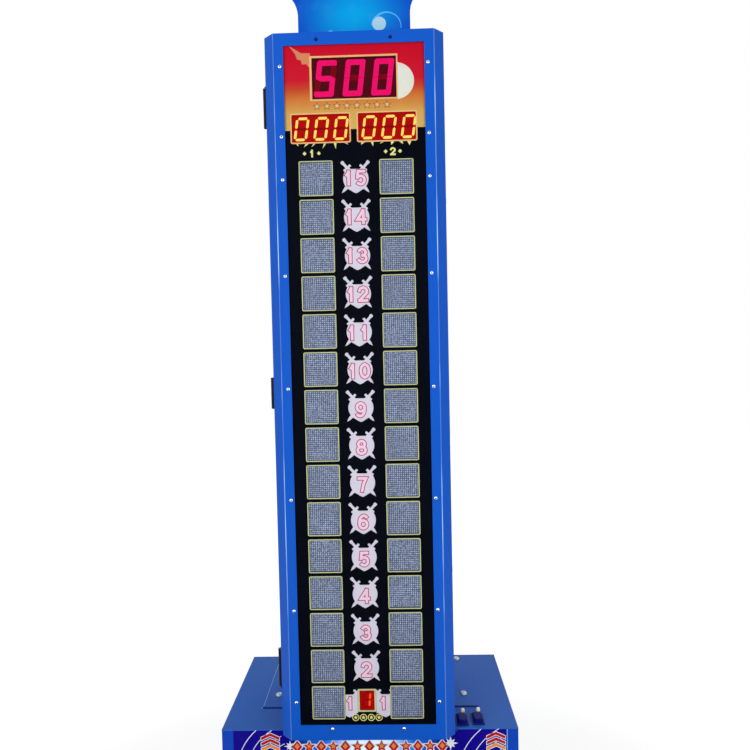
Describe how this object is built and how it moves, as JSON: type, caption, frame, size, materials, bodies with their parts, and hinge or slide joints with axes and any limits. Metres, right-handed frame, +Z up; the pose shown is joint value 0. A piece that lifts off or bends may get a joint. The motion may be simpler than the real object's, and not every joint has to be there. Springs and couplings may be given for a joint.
{
  "type": "hammer arcade machine",
  "caption": "Strength tester with a strike platform, a mallet, a low console and a tall score tower with two columns of lights behind a hinged glazed door, and a light-box topper.",
  "frame": {"origin": "on the floor under the middle of the machine's bounding box", "axes": "+Z up, the player stands on the -Y side, +X to the player's right"},
  "size_m": [0.785, 1.222, 2.6299],
  "materials": {
    "body_blue": "satin blue powder coat",
    "door_blue": "gloss blue paint",
    "frame_black": "matt black paint",
    "zinc_steel": "zinc plated",
    "dark_steel": "darkened steel",
    "screw_steel": "bright plated",
    "bronze": "machined",
    "spring_steel": "spring wire",
    "black_rubber": "matt",
    "red_rubber": "matt",
    "wheel_rubber": "matt",
    "grip_leather": "stitched",
    "ash_wood": "oiled",
    "board": "laminate",
    "circuit": "laminate",
    "led_grey": "dotted light tiles",
    "led_red": "lit digits",
    "print": "printed polycarbonate",
    "glass": "clear",
    "topper_blue": "printed acrylic, lit from behind",
    "topper_case": "satin",
    "tube_white": "frosted",
    "black_plastic": "moulded",
    "button_blue": "translucent",
    "pale_lamp": "frosted",
    "red_plastic": "translucent",
    "coin_steel": "black wrinkle paint"
  },
  "bodies": {
    "cabinet": {"base_frame": "frame_black", "levelling_feet": "zinc_steel", "side_panels": "body_blue", "console_top": "body_blue", "console_front": "body_blue", "console_back": "body_blue", "platform_top": "body_blue", "platform_front": "body_blue", "pad_collar": "zinc_steel", "frame_bolts": "zinc_steel", "impact_base": "frame_black", "guide_bushes": "bronze", "pad_springs": "spring_steel", "strike_sensor": "black_plastic", "mallet_cradles": "frame_black", "tower_shell": "body_blue", "tower_flange": "body_blue", "display_board": "board", "led_tiles_left": "led_grey", "led_tiles_right": "led_grey", "high_score_display": "led_red", "player_one_display": "led_red", "player_two_display": "led_red", "credit_display": "led_red", "topper_case": "topper_case", "topper_face": "topper_blue", "topper_lamps": "tube_white", "hinge_leaves": "frame_black", "button_housings": "black_plastic", "ready_lamps": "pale_lamp", "speakers": "black_plastic", "speaker_grilles": "coin_steel", "control_board": "circuit", "power_supply": "zinc_steel", "power_inlet": "black_plastic"},
    "front_door": {"door_frame": "door_blue", "front_glass": "glass", "score_panel": "print", "panel_screws": "screw_steel", "door_hinge_leaves": "frame_black"},
    "upper_latch": {"door_latch_upper": "zinc_steel"},
    "lower_latch": {"door_latch_lower": "zinc_steel"},
    "coin_door": {"coin_door": "coin_steel", "coin_mech": "zinc_steel"},
    "coin_cam_lock": {"coin_lock": "zinc_steel"},
    "left_reject": {"reject_button_left": "red_plastic"},
    "right_reject": {"reject_button_right": "red_plastic"},
    "cash_box": {"cash_box": "zinc_steel"},
    "service_door": {"rear_door": "body_blue"},
    "service_lock": {"rear_lock": "zinc_steel"},
    "striker": {"strike_pad": "red_rubber", "strike_plunger": "dark_steel"},
    "start_one": {"start_button_one": "button_blue"},
    "start_two": {"start_button_two": "button_blue"},
    "power_switch": {"power_rocker": "red_plastic"},
    "left_wheel": {"wheel_left": "wheel_rubber"},
    "right_wheel": {"wheel_right": "wheel_rubber"},
    "mallet": {"mallet_head": "black_rubber", "mallet_handle": "ash_wood", "mallet_grip": "grip_leather"}
  },
  "joints": [
    {"name": "front_door_hinge", "type": "hinge", "parent": "cabinet", "child": "front_door", "pos_m": [-0.2305, 0.1805, 1.434], "axis": [0, 0, -1], "range_deg": [0, 100]},
    {"name": "upper_latch_turn", "type": "hinge", "parent": "cabinet", "child": "upper_latch", "pos_m": [0.225, 0.204, 1.92], "axis": [1, 0, 0], "range_deg": [0, 90]},
    {"name": "lower_latch_turn", "type": "hinge", "parent": "cabinet", "child": "lower_latch", "pos_m": [0.225, 0.204, 0.96], "axis": [1, 0, 0], "range_deg": [0, 90]},
    {"name": "coin_door_hinge", "type": "hinge", "parent": "cabinet", "child": "coin_door", "pos_m": [-0.111, 0.18, 0.406], "axis": [0, 0, -1], "range_deg": [0, 95]},
    {"name": "coin_lock_turn", "type": "hinge", "parent": "coin_door", "child": "coin_cam_lock", "pos_m": [0.093, 0.184, 0.406], "axis": [0, -1, 0], "range_deg": [0, 90]},
    {"name": "left_reject_press", "type": "slide", "parent": "coin_door", "child": "left_reject", "axis": [0, 1, 0], "range_m": [0, 0.004], "stiffness_N_per_m": 300, "springref_m": -0.003},
    {"name": "right_reject_press", "type": "slide", "parent": "coin_door", "child": "right_reject", "axis": [0, 1, 0], "range_m": [0, 0.004], "stiffness_N_per_m": 300, "springref_m": -0.003},
    {"name": "cash_box_slide", "type": "slide", "parent": "cabinet", "child": "cash_box", "axis": [0, 1, 0], "range_m": [0, 0.14]},
    {"name": "service_door_hinge", "type": "hinge", "parent": "cabinet", "child": "service_door", "pos_m": [-0.231, 0.608, 0.283], "axis": [0, 0, 1], "range_deg": [0, 110]},
    {"name": "service_lock_turn", "type": "hinge", "parent": "service_door", "child": "service_lock", "pos_m": [0.212, 0.604, 0.283], "axis": [0, -1, 0], "range_deg": [0, 90]},
    {"name": "strike_press", "type": "slide", "parent": "cabinet", "child": "striker", "axis": [0, 0, -1], "range_m": [0, 0.03], "stiffness_N_per_m": 9000, "springref_m": -0.03, "deforming": ["pad_springs"]},
    {"name": "start_one_press", "type": "slide", "parent": "cabinet", "child": "start_one", "axis": [0, 0, -1], "range_m": [0, 0.004], "stiffness_N_per_m": 400, "springref_m": -0.004},
    {"name": "start_two_press", "type": "slide", "parent": "cabinet", "child": "start_two", "axis": [0, 0, -1], "range_m": [0, 0.004], "stiffness_N_per_m": 400, "springref_m": -0.004},
    {"name": "power_switch_rock", "type": "hinge", "parent": "cabinet", "child": "power_switch", "pos_m": [-0.31, 0.602, 0.452], "axis": [-1, 0, 0], "range_deg": [0, 16]},
    {"name": "left_wheel_spin", "type": "hinge", "parent": "cabinet", "child": "left_wheel", "pos_m": [-0.3, 0.579, 0.028], "axis": [1, 0, 0], "continuous": true},
    {"name": "right_wheel_spin", "type": "hinge", "parent": "cabinet", "child": "right_wheel", "pos_m": [0.3, 0.579, 0.028], "axis": [1, 0, 0], "continuous": true},
    {"name": "mallet_lift", "type": "slide", "parent": "cabinet", "child": "mallet", "axis": [0, 0, 1], "range_m": [0, 0.25]}
  ]
}
